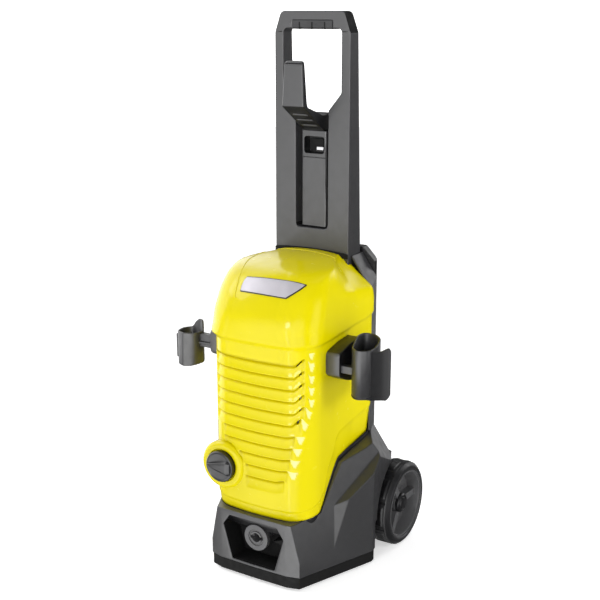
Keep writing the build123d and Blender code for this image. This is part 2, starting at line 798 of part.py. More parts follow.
os.makedirs("parts", exist_ok=True)
for node, shape in all_parts().items():
    export_step(shape, "parts/" + node + ".step")
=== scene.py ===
import json
import math

import bmesh
import bpy
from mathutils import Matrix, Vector
from mathutils.bvhtree import BVHTree

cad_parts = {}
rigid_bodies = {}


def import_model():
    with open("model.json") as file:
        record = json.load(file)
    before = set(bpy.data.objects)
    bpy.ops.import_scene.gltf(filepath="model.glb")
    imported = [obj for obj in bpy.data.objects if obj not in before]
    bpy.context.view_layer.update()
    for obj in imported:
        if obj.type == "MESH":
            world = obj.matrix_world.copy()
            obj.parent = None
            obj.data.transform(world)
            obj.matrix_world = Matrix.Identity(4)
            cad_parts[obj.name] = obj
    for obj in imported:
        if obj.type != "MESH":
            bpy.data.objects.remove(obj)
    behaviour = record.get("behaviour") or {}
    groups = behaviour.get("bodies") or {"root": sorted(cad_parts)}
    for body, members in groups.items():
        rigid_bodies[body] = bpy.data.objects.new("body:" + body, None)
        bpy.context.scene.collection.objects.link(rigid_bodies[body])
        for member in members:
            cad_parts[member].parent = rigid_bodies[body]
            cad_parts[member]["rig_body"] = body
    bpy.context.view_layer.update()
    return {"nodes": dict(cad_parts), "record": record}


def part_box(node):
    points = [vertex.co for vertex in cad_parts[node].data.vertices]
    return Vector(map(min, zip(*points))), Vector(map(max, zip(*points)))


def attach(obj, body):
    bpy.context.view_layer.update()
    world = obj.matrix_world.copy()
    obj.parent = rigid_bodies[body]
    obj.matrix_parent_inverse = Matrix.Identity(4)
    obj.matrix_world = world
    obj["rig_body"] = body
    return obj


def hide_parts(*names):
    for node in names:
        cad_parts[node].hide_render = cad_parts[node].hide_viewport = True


# Looks of the pressure washer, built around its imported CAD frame. Shapes are drawn in millimetres
# and scaled to metres when their mesh is made. +Z is up and the front faces -Y.

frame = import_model()
nodes = frame["nodes"]
MM = 0.001

# Yellow cover. Most outlines are (place along the cover, value) points.
FLANK = [(-149, 92), (-60, 94), (-10, 98), (30, 107)]
FRONT_Y = -152
REAR_Y = 30
BOW = 3
BROW_FOLD = [(-149, 391), (-80, 393), (-33, 398), (12, 405), (30, 412)]
BROW_RISE = 10
BROW_LIP = [(-60, 5.5), (30, 3.5)]
CAP_FRONT = [(400, 0), (425, 0.5), (440, 4), (452, 9.5), (466, 17), (480, 27), (492, 38), (501, 56),
             (507, 96)]
CAP_SIDE = [(400, 0), (440, 2), (472, 6), (490, 11), (500, 16), (505, 22), (507.5, 33)]
CAP_SIDE_REAR = [(445, 0), (459, 3), (463, 7), (480, 29), (497, 48), (507.5, 58)]
CORNER = [(400, 46), (416, 54), (446, 56), (490, 50)]
CAP_TOP = 507
CAP_CROWN = 4
EDGE = [(-148, 112.5), (-101, 118.5), (-76, 151.5), (-48, 187.5), (-4, 197.5), (35, 211.5)]
HEM = [(-149, 129), (-125, 133), (-105, 142), (-93, 154), (-84, 185), (-66, 210), (-58, 232),
       (-49, 240), (-12, 248), (30, 262)]
HEM_LEAN = [(-149, 1.5), (-100, 2), (30, 6)]
HEM_FRONT = 129
FOLD_START = 384
MAST_SLOT = (68.6, 19.4)

# Louvres in the cover's front, by row from the top
LOUVRE_TOP = 368
LOUVRE_PITCH = 19.25
LOUVRE_DEPTH = 3.8
GROOVE_DEPTH = 3.2
LOUVRE_LEFT = [-84] * 6 + [-62, -60, -30, -19, -19]
LOUVRE_RIGHT = [84] * 5 + [79, 69, 65, 61, 57, 51]
LOUVRE_LIFT = [11] * 6 + [1.5, 1.5, 2, 2, 4]
WEDGE_TIP = [96] * 5 + [91, 84, 78, 73, 69, 66]
WEDGE_HEIGHT = 13

# Switch
KNOB_X = -60
KNOB_Z = 184

# Wheels
WHEEL_CENTRE = (0, 85, 72)
TYRE_RADIUS = 72
TREAD_MIDDLE = 129
TREAD_BLOCKS = 9

# Strength of the strip light near the floor, and the soft panels of the studio: where each is,
# the cosines where its edge begins and ends, and its brightness there
STRIP_POWER = 4
PANELS = [
    ((-0.55, -0.72, 0.42), -0.3, 0.95, 0.08, 0.4),     # glow all round
    ((-0.12, -0.9, -0.42), 0.68, 0.92, 0, 1.95),       # in front, low
    ((-0.93, 0.2, 0.3), 0.735, 0.775, 0, 2.0),         # large, on the left
    ((0.62, -0.78, 0.06), 0.9, 0.97, 0, 1.8),          # front right
    ((0.96, 0.08, 0.0), 0.94, 0.985, 0, 1.4),          # right
    ((0.36, 0.86, 0.36), 0.95, 0.98, 0, 2.2),          # behind, high
    ((-0.06, 0.99, -0.14), 0.965, 0.99, 0, 0.8),       # behind, low
]


# ---------------------------------------------------------------- small helpers


def ramp(x, points):
    """Value at x on a line through (x, value) points, level beyond both ends."""
    if x <= points[0][0]:
        return points[0][1]
    for (x0, v0), (x1, v1) in zip(points, points[1:]):
        if x <= x1:
            return v0 + (v1 - v0) * (x - x0) / (x1 - x0)
    return points[-1][1]


def curve(x, points):
    """Like ramp, but bending smoothly through the points."""
    if not points[0][0] < x < points[-1][0]:
        return ramp(x, points)
    i = max(k for k, (at, _) in enumerate(points) if at <= x)
    (x0, v0), (x1, v1) = points[i], points[i + 1]
    (xa, va), (xb, vb) = points[max(i - 1, 0)], points[min(i + 2, len(points) - 1)]
    slope0, slope1 = (v1 - va) / (x1 - xa), (vb - v0) / (xb - x0)
    width = x1 - x0
    t = (x - x0) / width
    start = v0 * (1 + 2 * t) * (1 - t) ** 2 + slope0 * width * t * (1 - t) ** 2
    return start + v1 * t * t * (3 - 2 * t) + slope1 * width * t * t * (t - 1)


def smooth(x, low, high):
    """0 below low, 1 above high, eased between."""
    t = min(max((x - low) / (high - low), 0), 1)
    return t * t * (3 - 2 * t)


def add_mesh(name, verts, faces, slot, body, shade=None):
    """New smooth-shaded piece from points in millimetres, with its material, slot and body."""
    mesh = bpy.data.meshes.new(name)
    mesh.from_pydata([Vector(v) * MM for v in verts], [], faces)
    # The shade attribute carries painted shade (above 0) and painted highlight (below 0) for the yellow
    # material.
    if shade:
        mesh.attributes.new("shade", "FLOAT", "POINT").data.foreach_set("value", shade)
    return add_piece(name, mesh, slot, body)


def add_piece(name, mesh, slot, body):
    """Links a mesh as a piece of the object."""
    bm = bmesh.new()
    bm.from_mesh(mesh)
    bmesh.ops.remove_doubles(bm, verts=bm.verts, dist=1e-6)
    bmesh.ops.recalc_face_normals(bm, faces=bm.faces)
    for face in bm.faces:
        face.smooth = True
    bm.to_mesh(mesh)
    bm.free()
    piece = bpy.data.objects.new(name, mesh)
    bpy.context.scene.collection.objects.link(piece)
    mesh.materials.clear()
    mesh.materials.append(MATERIALS[slot])
    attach(piece, body)
    return piece


def round_edges(piece, width, segments=3, angle=24):
    """Rounds the piece's edges and evens its shading."""
    bevel = piece.modifiers.new("round", "BEVEL")
    bevel.width = width * MM
    bevel.segments = segments
    bevel.limit_method = "ANGLE"
    bevel.angle_limit = math.radians(angle)
    bevel.miter_outer = "MITER_ARC"
    bevel.use_clamp_overlap = False
    even = piece.modifiers.new("even", "WEIGHTED_NORMAL")
    even.weight = 60
    return piece


def from_cad(node, width, slot=None):
    """Moulded copy of a CAD node: flat faces merged and edges rounded. It stands for the node."""
    source = nodes[node]
    bm = bmesh.new()
    bm.from_mesh(source.data)
    bmesh.ops.remove_doubles(bm, verts=bm.verts, dist=2e-6)
    bmesh.ops.dissolve_limit(bm, angle_limit=math.radians(0.6), verts=bm.verts, edges=bm.edges)
    bmesh.ops.connect_verts_concave(bm, faces=bm.faces)
    mesh = bpy.data.meshes.new(node + "_moulded")
    bm.to_mesh(mesh)
    bm.free()
    piece = add_piece(mesh.name, mesh, slot or SLOT_OF[node], source["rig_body"])
    round_edges(piece, width)
    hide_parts(node)
    return piece


def second_finish(piece, slot, chosen):
    """Gives the faces that the test chooses another material."""
    piece.data.materials.append(MATERIALS[slot])
    for face in piece.data.polygons:
        if chosen(face.center / MM, face.normal):
            face.material_index = 1


def ring_faces(rings, count):
    """Faces between closed rings of points that follow each other."""
    faces = []
    for ring in range(rings - 1):
        for i in range(count):
            j = (i + 1) % count
            faces.append((ring * count + i, ring * count + j, (ring + 1) * count + j, (ring + 1) * count + i))
    return faces


def sheet_faces(rows, width):
    """Faces between open rows of points that follow each other."""
    faces = []
    for row in range(rows - 1):
        for i in range(width - 1):
            a = row * width + i
            faces.append((a, a + 1, a + width + 1, a + width))
    return faces


def lathe(name, profile, centre, axis, slot, body, steps=96):
    """Turned piece from (distance along the axis, radius) points. A radius of 0 closes an end."""
    verts = []
    for along, radius in profile:
        for i in range(steps):
            a = 2 * math.pi * i / steps
            across = (radius * math.cos(a), radius * math.sin(a))
            offsets = {"x": (along, *across), "y": (across[0], along, across[1])}
            verts.append(Vector(centre) + Vector(offsets[axis]))
    return add_mesh(name, verts, ring_faces(len(profile), steps), slot, body)


def rounded_profile(corners, radius, steps=4):
    """Profile line with its inner corners rounded."""
    out = [corners[0]]
    for before, here, after in zip(corners, corners[1:], corners[2:]):
        a, p, b = Vector(before), Vector(here), Vector(after)
        reach = min(radius, (a - p).length / 2.2, (b - p).length / 2.2)
        start = p + (a - p).normalized() * reach
        end = p + (b - p).normalized() * reach
        for i in range(steps + 1):
            t = i / steps
            out.append(tuple(start * (1 - t) ** 2 + p * 2 * t * (1 - t) + end * t * t))
    return out + [corners[-1]]


# ---------------------------------------------------------------- materials


def moulded(name, colour, rough, grain=0.25, grain_size=0.0006, mottle=0.05, edge_rub_and_sheen=0.12, metal=0.0, shine=0.5):
    """Procedural finish: mottled colour, uneven roughness, fine grain, lighter rubbed edges (on the tyre a
    painted highlight), painted shade in creases and recesses.
    """
    material = bpy.data.materials.new(name)
    material.use_nodes = True
    tree = material.node_tree
    shader = tree.nodes["Principled BSDF"]
    shader.inputs["Metallic"].default_value = metal
    shader.inputs["Specular IOR Level"].default_value = shine
    place = tree.nodes.new("ShaderNodeTexCoord").outputs["Object"]

    def noise(size, detail):
        node = tree.nodes.new("ShaderNodeTexNoise")
        node.inputs["Scale"].default_value = 1 / size
        node.inputs["Detail"].default_value = detail
        tree.links.new(place, node.inputs["Vector"])
        return node.outputs["Fac"]

    def spread(value, low, high):
        node = tree.nodes.new("ShaderNodeMapRange")
        node.inputs["From Min"].default_value = 0.3
        node.inputs["From Max"].default_value = 0.7
        node.inputs["To Min"].default_value = low
        node.inputs["To Max"].default_value = high
        tree.links.new(value, node.inputs["Value"])
        return node.outputs["Result"]

    def mix(factor, first, second):
        node = tree.nodes.new("ShaderNodeMix")
        node.data_type = "RGBA"
        tree.links.new(factor, node.inputs["Factor"])
        for socket, value in (("A", first), ("B", second)):
            target = next(s for s in node.inputs if s.name == socket and s.type == "RGBA")
            if isinstance(value, tuple):
                target.default_value = (*value, 1)
            else:
                tree.links.new(value, target)
        return next(s for s in node.outputs if s.type == "RGBA")

    dark = tuple(c * (1 - mottle) for c in colour)
    light = tuple(min(c * (1 + mottle), 1) for c in colour)
    base = mix(spread(noise(0.05, 3), 0, 1), dark, light)
    edge = tree.nodes.new("ShaderNodeNewGeometry").outputs["Pointiness"]
    # Edges, found by high pointiness, are lightened: rubbed edges, and on the tyre a painted highlight.
    ridge = tree.nodes.new("ShaderNodeMapRange")
    ridge.inputs["From Min"].default_value = 0.52
    ridge.inputs["From Max"].default_value = 0.62
    ridge.inputs["To Max"].default_value = edge_rub_and_sheen
    tree.links.new(edge, ridge.inputs["Value"])
    # Painted shade: creases and recesses, found by low pointiness, are darkened towards the deep colour.
    crease_shade = tree.nodes.new("ShaderNodeMapRange")
    crease_shade.inputs["From Min"].default_value = 0.485
    crease_shade.inputs["From Max"].default_value = 0.42
    crease_shade.inputs["To Max"].default_value = 0.6
    tree.links.new(edge, crease_shade.inputs["Value"])
    rubbed_and_sheen_tone = tuple(min(c * 1.5 + 0.03, 1) for c in colour)
    # The deep colour is the painted shade in creases and recesses.
    deep = tuple(c * f for c, f in zip(colour, (0.55, 0.45, 0.4)))
    finish = mix(crease_shade.outputs["Result"], mix(ridge.outputs["Result"], base, rubbed_and_sheen_tone), deep)
    tree.links.new(finish, shader.inputs["Base Color"])
    tree.links.new(spread(noise(0.012, 4), rough * 0.85, rough * 1.15), shader.inputs["Roughness"])
    bump = tree.nodes.new("ShaderNodeBump")
    bump.inputs["Strength"].default_value = grain
    bump.inputs["Distance"].default_value = 0.0002
    tree.links.new(noise(grain_size, 2), bump.inputs["Height"])
    tree.links.new(bump.outputs["Normal"], shader.inputs["Normal"])
    return material


def glossy_yellow():
    """High-gloss shell plastic. The mesh's shade attribute paints shade under the louvres and paints a
    highlight on its wedges.
    """
    material = moulded("yellow_gloss", (0.68, 0.585, 0.0), 0.24, 0.05, 0.004, 0.015, 0.04, shine=0.12)
    tree = material.node_tree
    shader = tree.nodes["Principled BSDF"]
    plain = shader.inputs["Base Color"].links[0].from_socket
    shade = tree.nodes.new("ShaderNodeAttribute")
    shade.attribute_name = "shade"
    # The dark tint is painted shade under the louvre lips; the pale tint is a painted highlight on the
    # wedges.
    for low, high, tint in ((0, 1, (0.42, 0.32, 0.0, 1)), (0, -1, (0.98, 0.93, 0.4, 1))):
        amount = tree.nodes.new("ShaderNodeMapRange")
        amount.inputs["From Min"].default_value = low
        amount.inputs["From Max"].default_value = high
        amount.inputs["To Max"].default_value = 0.85
        tree.links.new(shade.outputs["Fac"], amount.inputs["Value"])
        tinted = tree.nodes.new("ShaderNodeMix")
        tinted.data_type = "RGBA"
        tree.links.new(amount.outputs["Result"], tinted.inputs["Factor"])
        first, second = [s for s in tinted.inputs if s.type == "RGBA"]
        tree.links.new(plain, first)
        second.default_value = tint
        plain = next(s for s in tinted.outputs if s.type == "RGBA")
    tree.links.new(plain, shader.inputs["Base Color"])
    shader.inputs["Coat Weight"].default_value = 0.35
    shader.inputs["Coat Roughness"].default_value = 0.06
    shader.inputs["Coat IOR"].default_value = 1.5
    return material


def make_materials():
    """One material for each slot of the record."""
    return {
        "yellow_shell": glossy_yellow(),
        "grey_plastic": moulded("grey_moulded", (0.026, 0.026, 0.028), 0.42, shine=1.0),
        "black_plastic": moulded("black_moulded", (0.005, 0.005, 0.006), 0.36, shine=0.9),
        "coupling_grey": moulded("coupling_grey", (0.085, 0.085, 0.088), 0.36),
        "soft_grip": moulded("soft_grip", (0.03, 0.03, 0.032), 0.62, 0.4, 0.0009),
        "rubber": moulded("rubber", (0.008, 0.008, 0.008), 0.75, 0.4, 0.0012, shine=0.2),
        # On the tyre the edge lightening is strong: a painted highlight on the tread's ridges.
        "tyre_black": moulded("tyre_black", (0.009, 0.009, 0.01), 0.4, 0.3, 0.0009, edge_rub_and_sheen=0.9),
        "silver_plate": moulded("silver_plate", (0.5, 0.48, 0.52), 0.4, 0.1, 0.0004, 0.04, 0.05, 0.3),
        "steel": moulded("steel", (0.55, 0.55, 0.56), 0.3, 0.15, 0.0005, 0.06, 0.1, 1.0),
        "aluminium": moulded("aluminium", (0.6, 0.6, 0.62), 0.42, 0.3, 0.0012, 0.06, 0.1, 1.0),
        "brass": moulded("brass", (0.62, 0.45, 0.18), 0.32, 0.2, 0.0008, 0.08, 0.1, 1.0),
    }


# ---------------------------------------------------------------- yellow cover


def lip(y, z):
    """How far the brow stands out."""
    fold = ramp(y, BROW_FOLD)
    return ramp(y, BROW_LIP) * smooth(z, fold, fold + BROW_RISE)


def flank_x(y, z):
    """Half width of the cover."""
    rear = smooth(y, -60, REAR_Y)
    inward = (1 - rear) * curve(z, CAP_SIDE) + rear * curve(z, CAP_SIDE_REAR)
    return ramp(y, FLANK) + lip(y, z) - inward


def front_y(z):
    """The cover's front on the middle line."""
    return FRONT_Y - lip(FRONT_Y, z) + curve(z, CAP_FRONT)


def outline_point(part, t, z):
    """Place and outward direction of one column at one height, on the right half."""
    y_front = front_y(z)
    radius = ramp(z, CORNER)
    y_turn = y_front + BOW + radius
    x_side = flank_x(y_turn, z)
    if part == "flank":
        y = REAR_Y + (y_turn - REAR_Y) * t
        return (flank_x(y, z), y), (1, 0)
    if part == "corner":
        a = t * math.pi / 2
        x = x_side - radius + radius * math.cos(a)
        return (x, y_turn - radius * math.sin(a)), (math.cos(a), -math.sin(a))
    x = (x_side - radius) * (1 - t)
    return (x, y_front + BOW * (1 - t) ** 2), (0, -1)


def cover_columns():
    """Columns from the rear right to the rear left: (side, part, share, distance round the front)."""
    right = [(1, "flank", i / 30, 150) for i in range(30)]
    right += [(1, "corner", i / 48, 46 + 46 * math.pi / 2 * (1 - i / 48)) for i in range(48)]
    right += [(1, "front", i / 25, 46 * (1 - i / 25)) for i in range(26)]
    left = [(-1, part, t, -round_) for _, part, t, round_ in reversed(right[:-1])]
    return right + left


def cover_rows():
    """Heights of the rows above the hem: the field of louvres, the brow and the cap."""
    bottom = LOUVRE_TOP - 11 * LOUVRE_PITCH
    rows = [HEM_FRONT + (bottom - HEM_FRONT) * i / 8 for i in range(8)]
    slat = [0, 0.05, 0.12, 0.24, 0.4, 0.55, 0.68, 0.78, 0.86, 0.92, 0.96]
    for row in range(11):
        rows += [bottom + (row + s) * LOUVRE_PITCH for s in slat]
    rows += [LOUVRE_TOP + 4 * i for i in range(4)]
    rows += [FOLD_START + 1.75 * i for i in range(20)]
    rows += [421 + 4 * i for i in range(13)]
    rows += [472, 476, 480, 484, 488, 491, 494, 496.5, 499, 501, 502.6, 504, 505, 506, 506.6, CAP_TOP]
    return rows


def louvre_dent(row, below, around):
    """Depth of the surface under one groove, fading out at the row's ends."""
    gate = smooth(around, LOUVRE_LEFT[row], LOUVRE_LEFT[row] + 6)
    gate *= 1 - smooth(around, LOUVRE_RIGHT[row] - 2, LOUVRE_RIGHT[row] + 1)
    share = min(below / LOUVRE_PITCH, 1)
    flare = LOUVRE_DEPTH * (1 - share ** 2.4)
    groove = GROOVE_DEPTH * (1 - smooth(share, 0.04, 0.24))
    rolled = 0.5 * smooth(share, 0.95, 1)
    return gate * (flare + groove + rolled * (share < 1))


def louvre_lift(row, around):
    """Upward curl of a groove at its right end."""
    end = LOUVRE_RIGHT[row]
    return LOUVRE_LIFT[row] * smooth(around, end - 17, end) * (1 - smooth(around, end, end + 12))


def facet_dent(row, below, around):
    """Small wedge beside a slat's end that faces up; its pale colour is a painted highlight."""
    tip = WEDGE_TIP[row]
    half = 5 + 0.5 * max(row - 4, 0)
    from_top = (below + 1) / WEDGE_HEIGHT
    if not 0 <= from_top <= 1:
        return 0
    room = half * (1 - from_top) + 0.01
    return 4.2 * (1 - from_top) * max(0, 1 - (abs(around - tip) / (room + 0.8)) ** 6)


def painted_louvre_light(column, row_z):
    """Painted shade under the louvres' lips (above 0) and painted highlight on the wedges (below 0) at one
    place.
    """
    side, part, _, around = column
    below = LOUVRE_TOP - row_z
    if part != "flank" and 0 <= below < 11 * LOUVRE_PITCH:
        row = int(below / LOUVRE_PITCH + 1e-6)
        share = below / LOUVRE_PITCH - row
        dent = louvre_dent(row, share * LOUVRE_PITCH, around)
        if share < 0.26 and dent > 1:
            return 1 - share / 0.26
    if part == "corner" and side > 0 and row_z < LOUVRE_TOP + LOUVRE_PITCH:
        below = LOUVRE_TOP + LOUVRE_PITCH - row_z
        row = min(int(below / LOUVRE_PITCH + 1e-6), 10)
        if facet_dent(row, below - row * LOUVRE_PITCH, around) > 0.4:
            return -1
    return 0


def cover_point(column, row_z):
    """One point of the cover, with its hem, louvres and wedges."""
    side, part, share, around = column
    (_, y0), _ = outline_point(part, share, 300)
    hem = ramp(y0, HEM)
    z = row_z
    if row_z < FOLD_START:
        z = hem + (row_z - HEM_FRONT) * (FOLD_START - hem) / (FOLD_START - HEM_FRONT)
    dent = 0
    if part != "flank" and row_z < LOUVRE_TOP:
        below = LOUVRE_TOP - row_z
        row = min(int(below / LOUVRE_PITCH + 1e-6), 10)
        below -= row * LOUVRE_PITCH
        dent = louvre_dent(row, below, around)
        z += louvre_lift(row, around) * (1 - below / LOUVRE_PITCH)
        above = min(row + 1, 10)
        z += louvre_lift(above, around) * below / LOUVRE_PITCH
    if part != "flank" and LOUVRE_TOP <= row_z < FOLD_START:
        share_up = (row_z - LOUVRE_TOP) / (FOLD_START - LOUVRE_TOP)
        z += louvre_lift(0, around) * (1 - share_up)
    if part == "corner" and side > 0 and row_z < LOUVRE_TOP + LOUVRE_PITCH:
        below = LOUVRE_TOP + LOUVRE_PITCH - row_z
        row = min(int(below / LOUVRE_PITCH + 1e-6), 10)
        dent += facet_dent(row, below - row * LOUVRE_PITCH, around)
    (x, y), normal = outline_point(part, share, z)
    x -= dent * normal[0]
    y -= dent * normal[1]
    return side * x, y, z


def hem_point(column, share_up):
    """One point of the band between the cover's lower edge and its hem."""
    side, part, share, _ = column
    (_, y0), _ = outline_point(part, share, 300)
    low, high = ramp(y0, EDGE), ramp(y0, HEM)
    z = low + (high - low) * share_up
    (x, y), normal = outline_point(part, share, z)
    dent = 1.3 * smooth(1 - share_up, 0, 0.12) + ramp(y0, HEM_LEAN) * (1 - share_up)
    return side * (x - dent * normal[0]), y - dent * normal[1], z


def cover_grid():
    """All rows of the cover from its lower edge to the middle of its top."""
    columns = cover_columns()
    grid = [[hem_point(c, s) for c in columns] for s in (0, 0.2, 0.4, 0.6, 0.8, 0.88, 0.94)]
    grid += [[cover_point(c, z) for c in columns] for z in cover_rows()]
    rim = grid[-1]
    slot_y = MAST_SLOT[1]
    for i in range(1, 15):
        keep = 1 - i / 14
        z = CAP_TOP + CAP_CROWN * (1 - keep * keep)
        grid.append([(x * keep, slot_y + (y - slot_y) * keep, z) for x, y, _ in rim])
    clear = []
    for row in grid:
        clear.append([(x, min(y, slot_y) if abs(x) < MAST_SLOT[0] and z > 430 else y, z) for x, y, z in row])
    return clear


def is_vent(row_z, around):
    """True where a groove opens through the wall, at the right end of the six upper rows."""
    below = LOUVRE_TOP - row_z
    row = int(below / LOUVRE_PITCH + 1e-6)
    if below < 0 or row > 5:
        return False
    low = below - row * LOUVRE_PITCH
    reach = 12 if row == 0 else 7
    return 0.2 < low < 3 and LOUVRE_RIGHT[row] - reach < around < LOUVRE_RIGHT[row] - 2.5


def yellow_cover():
    """The glossy front cover with its brow, louvres, hem and cap."""
    grid = cover_grid()
    columns = cover_columns()
    heights = [None] * 7 + cover_rows()
    width = len(columns)
    faces = []
    for r in range(len(grid) - 1):
        for c in range(width - 1):
            height = heights[r + 1] if r + 1 < len(heights) else None
            if height is not None and is_vent(height, columns[c][3]):
                continue
            a = r * width + c
            faces.append((a, a + 1, a + width + 1, a + width))
    verts = [p for row in grid for p in row]
    # Painted shade under the louvre lips and painted highlight on the wedges, for each point.
    shade = [painted_louvre_light(c, z) if z else 0 for z in heights for c in columns]
    shade += [0] * (len(verts) - len(shade))
    cover = add_mesh("yellow_cover", verts, faces, "yellow_shell", "housing", shade)
    outside = BVHTree.FromPolygons([v.co for v in cover.data.vertices],
                                   [p.vertices for p in cover.data.polygons])
    middle = cover.data.polygons[len(cover.data.polygons) // 3]
    if middle.normal.dot(middle.center - Vector((0, 0, middle.center.z))) < 0:
        cover.data.flip_normals()
    wall = cover.modifiers.new("wall", "SOLIDIFY")
    wall.thickness = 2.6 * MM
    wall.offset = -1
    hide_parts("front_shell")
    return outside


def cover_gap_shade():
    """Black upright sheet just inside the cover's lower edge: painted shade in the gap between cover and
    base.
    """
    columns = cover_columns()
    rows = []
    for down in (-5, 3, 12, 26):
        row = []
        for side, part, share, _ in columns:
            (_, y0), _ = outline_point(part, share, 300)
            z = ramp(y0, EDGE) - down
            (x, y), (nx, ny) = outline_point(part, share, z)
            row.append((side * (x - 4.2 * nx), y - 4.2 * ny, z))
        rows.append(row)
    verts = [p for row in rows for p in row]
    rim = add_mesh("cover_gap_shade", verts, sheet_faces(len(rows), len(columns)), "black_plastic", "housing")
    wall = rim.modifiers.new("wall", "SOLIDIFY")
    wall.thickness = 1.2 * MM
    wall.offset = 0


def surface_strip(outside, points, radius, name, slot):
    """Fine bead that lies on the cover along a line of points."""
    route = smooth_line(points, 10)
    route = [outside.find_nearest(Vector(p) * MM) for p in route]
    verts = []
    sides = 8
    for i, (place, normal, _, _) in enumerate(route):
        ahead = route[min(i + 1, len(route) - 1)][0] - route[max(i - 1, 0)][0]
        across = normal.cross(ahead).normalized()
        size = radius * min(1, (i + 0.3) / 4, (len(route) - i - 0.7) / 4)
        for k in range(sides):
            a = 2 * math.pi * k / sides
            lift = normal * math.sin(a) + across * math.cos(a)
            verts.append(place / MM + lift * size)
    faces = ring_faces(len(route), sides)
    faces.append(tuple(range(sides)))
    faces.append(tuple(range((len(route) - 1) * sides, len(route) * sides)))
    return add_mesh(name, verts, faces, slot, "housing")


def smooth_line(points, steps):
    """Points along a Catmull-Rom curve."""
    padded = [points[0]] + list(points) + [points[-1]]
    out = []
    for a, b, c, d in zip(padded, padded[1:], padded[2:], padded[3:]):
        a, b, c, d = map(Vector, (a, b, c, d))
        for i in range(steps):
            t = i / steps
            out.append(0.5 * (2 * b + (c - a) * t + (2 * a - 5 * b + 4 * c - d) * t * t
                              + (3 * b - a - 3 * c + d) * t ** 3))
    out.append(Vector(points[-1]))
    return out


def cap_seam(outside):
    """Raised line round the cap's upper panel."""
    line = [(-37, -141, 458), (-41, -124, 462), (-45, -110, 486), (-54, -90, 500), (-63, -60, 506),
            (-66, -20, 507), (-60, 2, 507), (-20, 5, 507), (30, 1, 507), (58, -4, 507), (66, -14, 507)]
    surface_strip(outside, line, 0.75, "cap_seam", "yellow_shell")


def badge(outside, grow, lift, thickness, name, slot, node):
    """Slanted plate with rounded corners that follows the cap."""
    corners = [(-33 - grow, 470 - grow), (50 + grow, 470 - grow),
               (72 + 2 * grow, 493 + grow), (-31 - grow, 489 + grow)]
    steps = 28
    lean = Vector((0, -28, 22)).normalized()
    layers = []
    for height in (lift, lift + thickness):
        layer = []
        for j in range(steps + 1):
            for i in range(steps + 1):
                u, v = round_square(i / steps, j / steps, 0.05)
                low = Vector(corners[0]).lerp(Vector(corners[1]), u)
                high = Vector(corners[3]).lerp(Vector(corners[2]), u)
                x, z = low.lerp(high, v)
                start = Vector((x, -141 + (z - 464) * 22 / 28, z)) + lean * 40
                hit = outside.ray_cast(start * MM, -lean)[0]
                layer.append(hit / MM + lean * height)
        layers += layer
    return plate_mesh(layers, steps, name, slot, node)


def mast_gap_shade():
    """Dark strip between the cap's rear edge and the mast: painted shade in the gap there."""
    reach, y = MAST_SLOT[0] - 0.4, MAST_SLOT[1] - 0.5
    curved_plate("mast_gap_shade", [(-reach, y), (0, y), (reach, y)], 0.9,
                 lambda t: CAP_TOP - 6,
                 lambda t: CAP_TOP + 1.6 + CAP_CROWN * (1 - (2 * t - 1) ** 2), "rubber")


def round_square(u, v, corner):
    """Moves a place in the unit square so that the square's corners become round."""
    a, b = 2 * u - 1, 2 * v - 1
    reach = 1 - corner * (a * a * b * b)
    return (a * reach + 1) / 2, (b * reach + 1) / 2


def plate_mesh(layers, steps, name, slot, node):
    """Closed thin plate from two layers of a square grid."""
    side = steps + 1
    faces = []
    for layer in (0, side * side):
        faces += [tuple(layer + i for i in face) for face in sheet_faces(side, side)]
    rim = [i for i in range(side)] + [j * side + steps for j in range(1, side)]
    rim += [steps * side + i for i in range(steps - 1, -1, -1)] + [j * side for j in range(steps - 1, 0, -1)]
    for a, b in zip(rim, rim[1:] + rim[:1]):
        faces.append((a, b, b + side * side, a + side * side))
    plate = add_mesh(name, layers, faces, slot, "housing")
    round_edges(plate, 0.35, 2, 50)
    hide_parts(node)
    return plate


def switch_pod():
    """Round collar of the cover round the switch."""
    profile = [(-112, 38), (-150, 39.5), (-152, 39), (-156, 35), (-156, 27), (-152.5, 26.5), (-152.5, 0.01)]
    centre = (KNOB_X, 0, KNOB_Z)
    lathe("switch_pod", rounded_profile(profile, 2.2, 5), centre, "y", "yellow_shell", "housing", 128)


# ---------------------------------------------------------------- switch


def switch_knob():
    """Dished knob with a wedge-shaped grip bar that widens to the right."""
    centre = (KNOB_X, 0, KNOB_Z)
    profile = [(-153, 0.01), (-153, 25), (-162.6, 25.5), (-164, 23.6), (-162.4, 21.5), (-161.4, 0.01)]
    disc = lathe("switch_knob_disc", rounded_profile(profile, 0.8), centre, "y", "black_plastic", "knob", 128)
    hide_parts("switch_knob")
    stations = [(-23.5, 1.2, 1.5, -163.5), (-20, 2.5, 3.5, -165.5), (-8, 5.5, 7.5, -167.6),
                (6, 8, 11.5, -168), (14, 9, 14, -168), (20.5, 8, 12, -165), (22, 7, 10, -163)]
    verts, faces = [], []
    for x, top, foot, y in stations:
        ring = [(-foot, -161), (-top, y + 1), (-top * 0.6, y), (top * 0.6, y), (top, y + 1), (foot, -161)]
        verts += [(KNOB_X + x, deep, KNOB_Z + high) for high, deep in ring]
    for s in range(len(stations) - 1):
        for k in range(5):
            a = s * 6 + k
            faces.append((a, a + 1, a + 7, a + 6))
        faces.append((s * 6 + 5, s * 6, s * 6 + 6, s * 6 + 11))
    faces.append((0, 1, 2, 3, 4, 5))
    last = 6 * (len(stations) - 1)
    faces.append(tuple(last + k for k in range(6)))
    bar = add_mesh("switch_grip_bar", verts, faces, "black_plastic", "knob")
    round_edges(bar, 0.7, 3, 20)


# ---------------------------------------------------------------- side holders


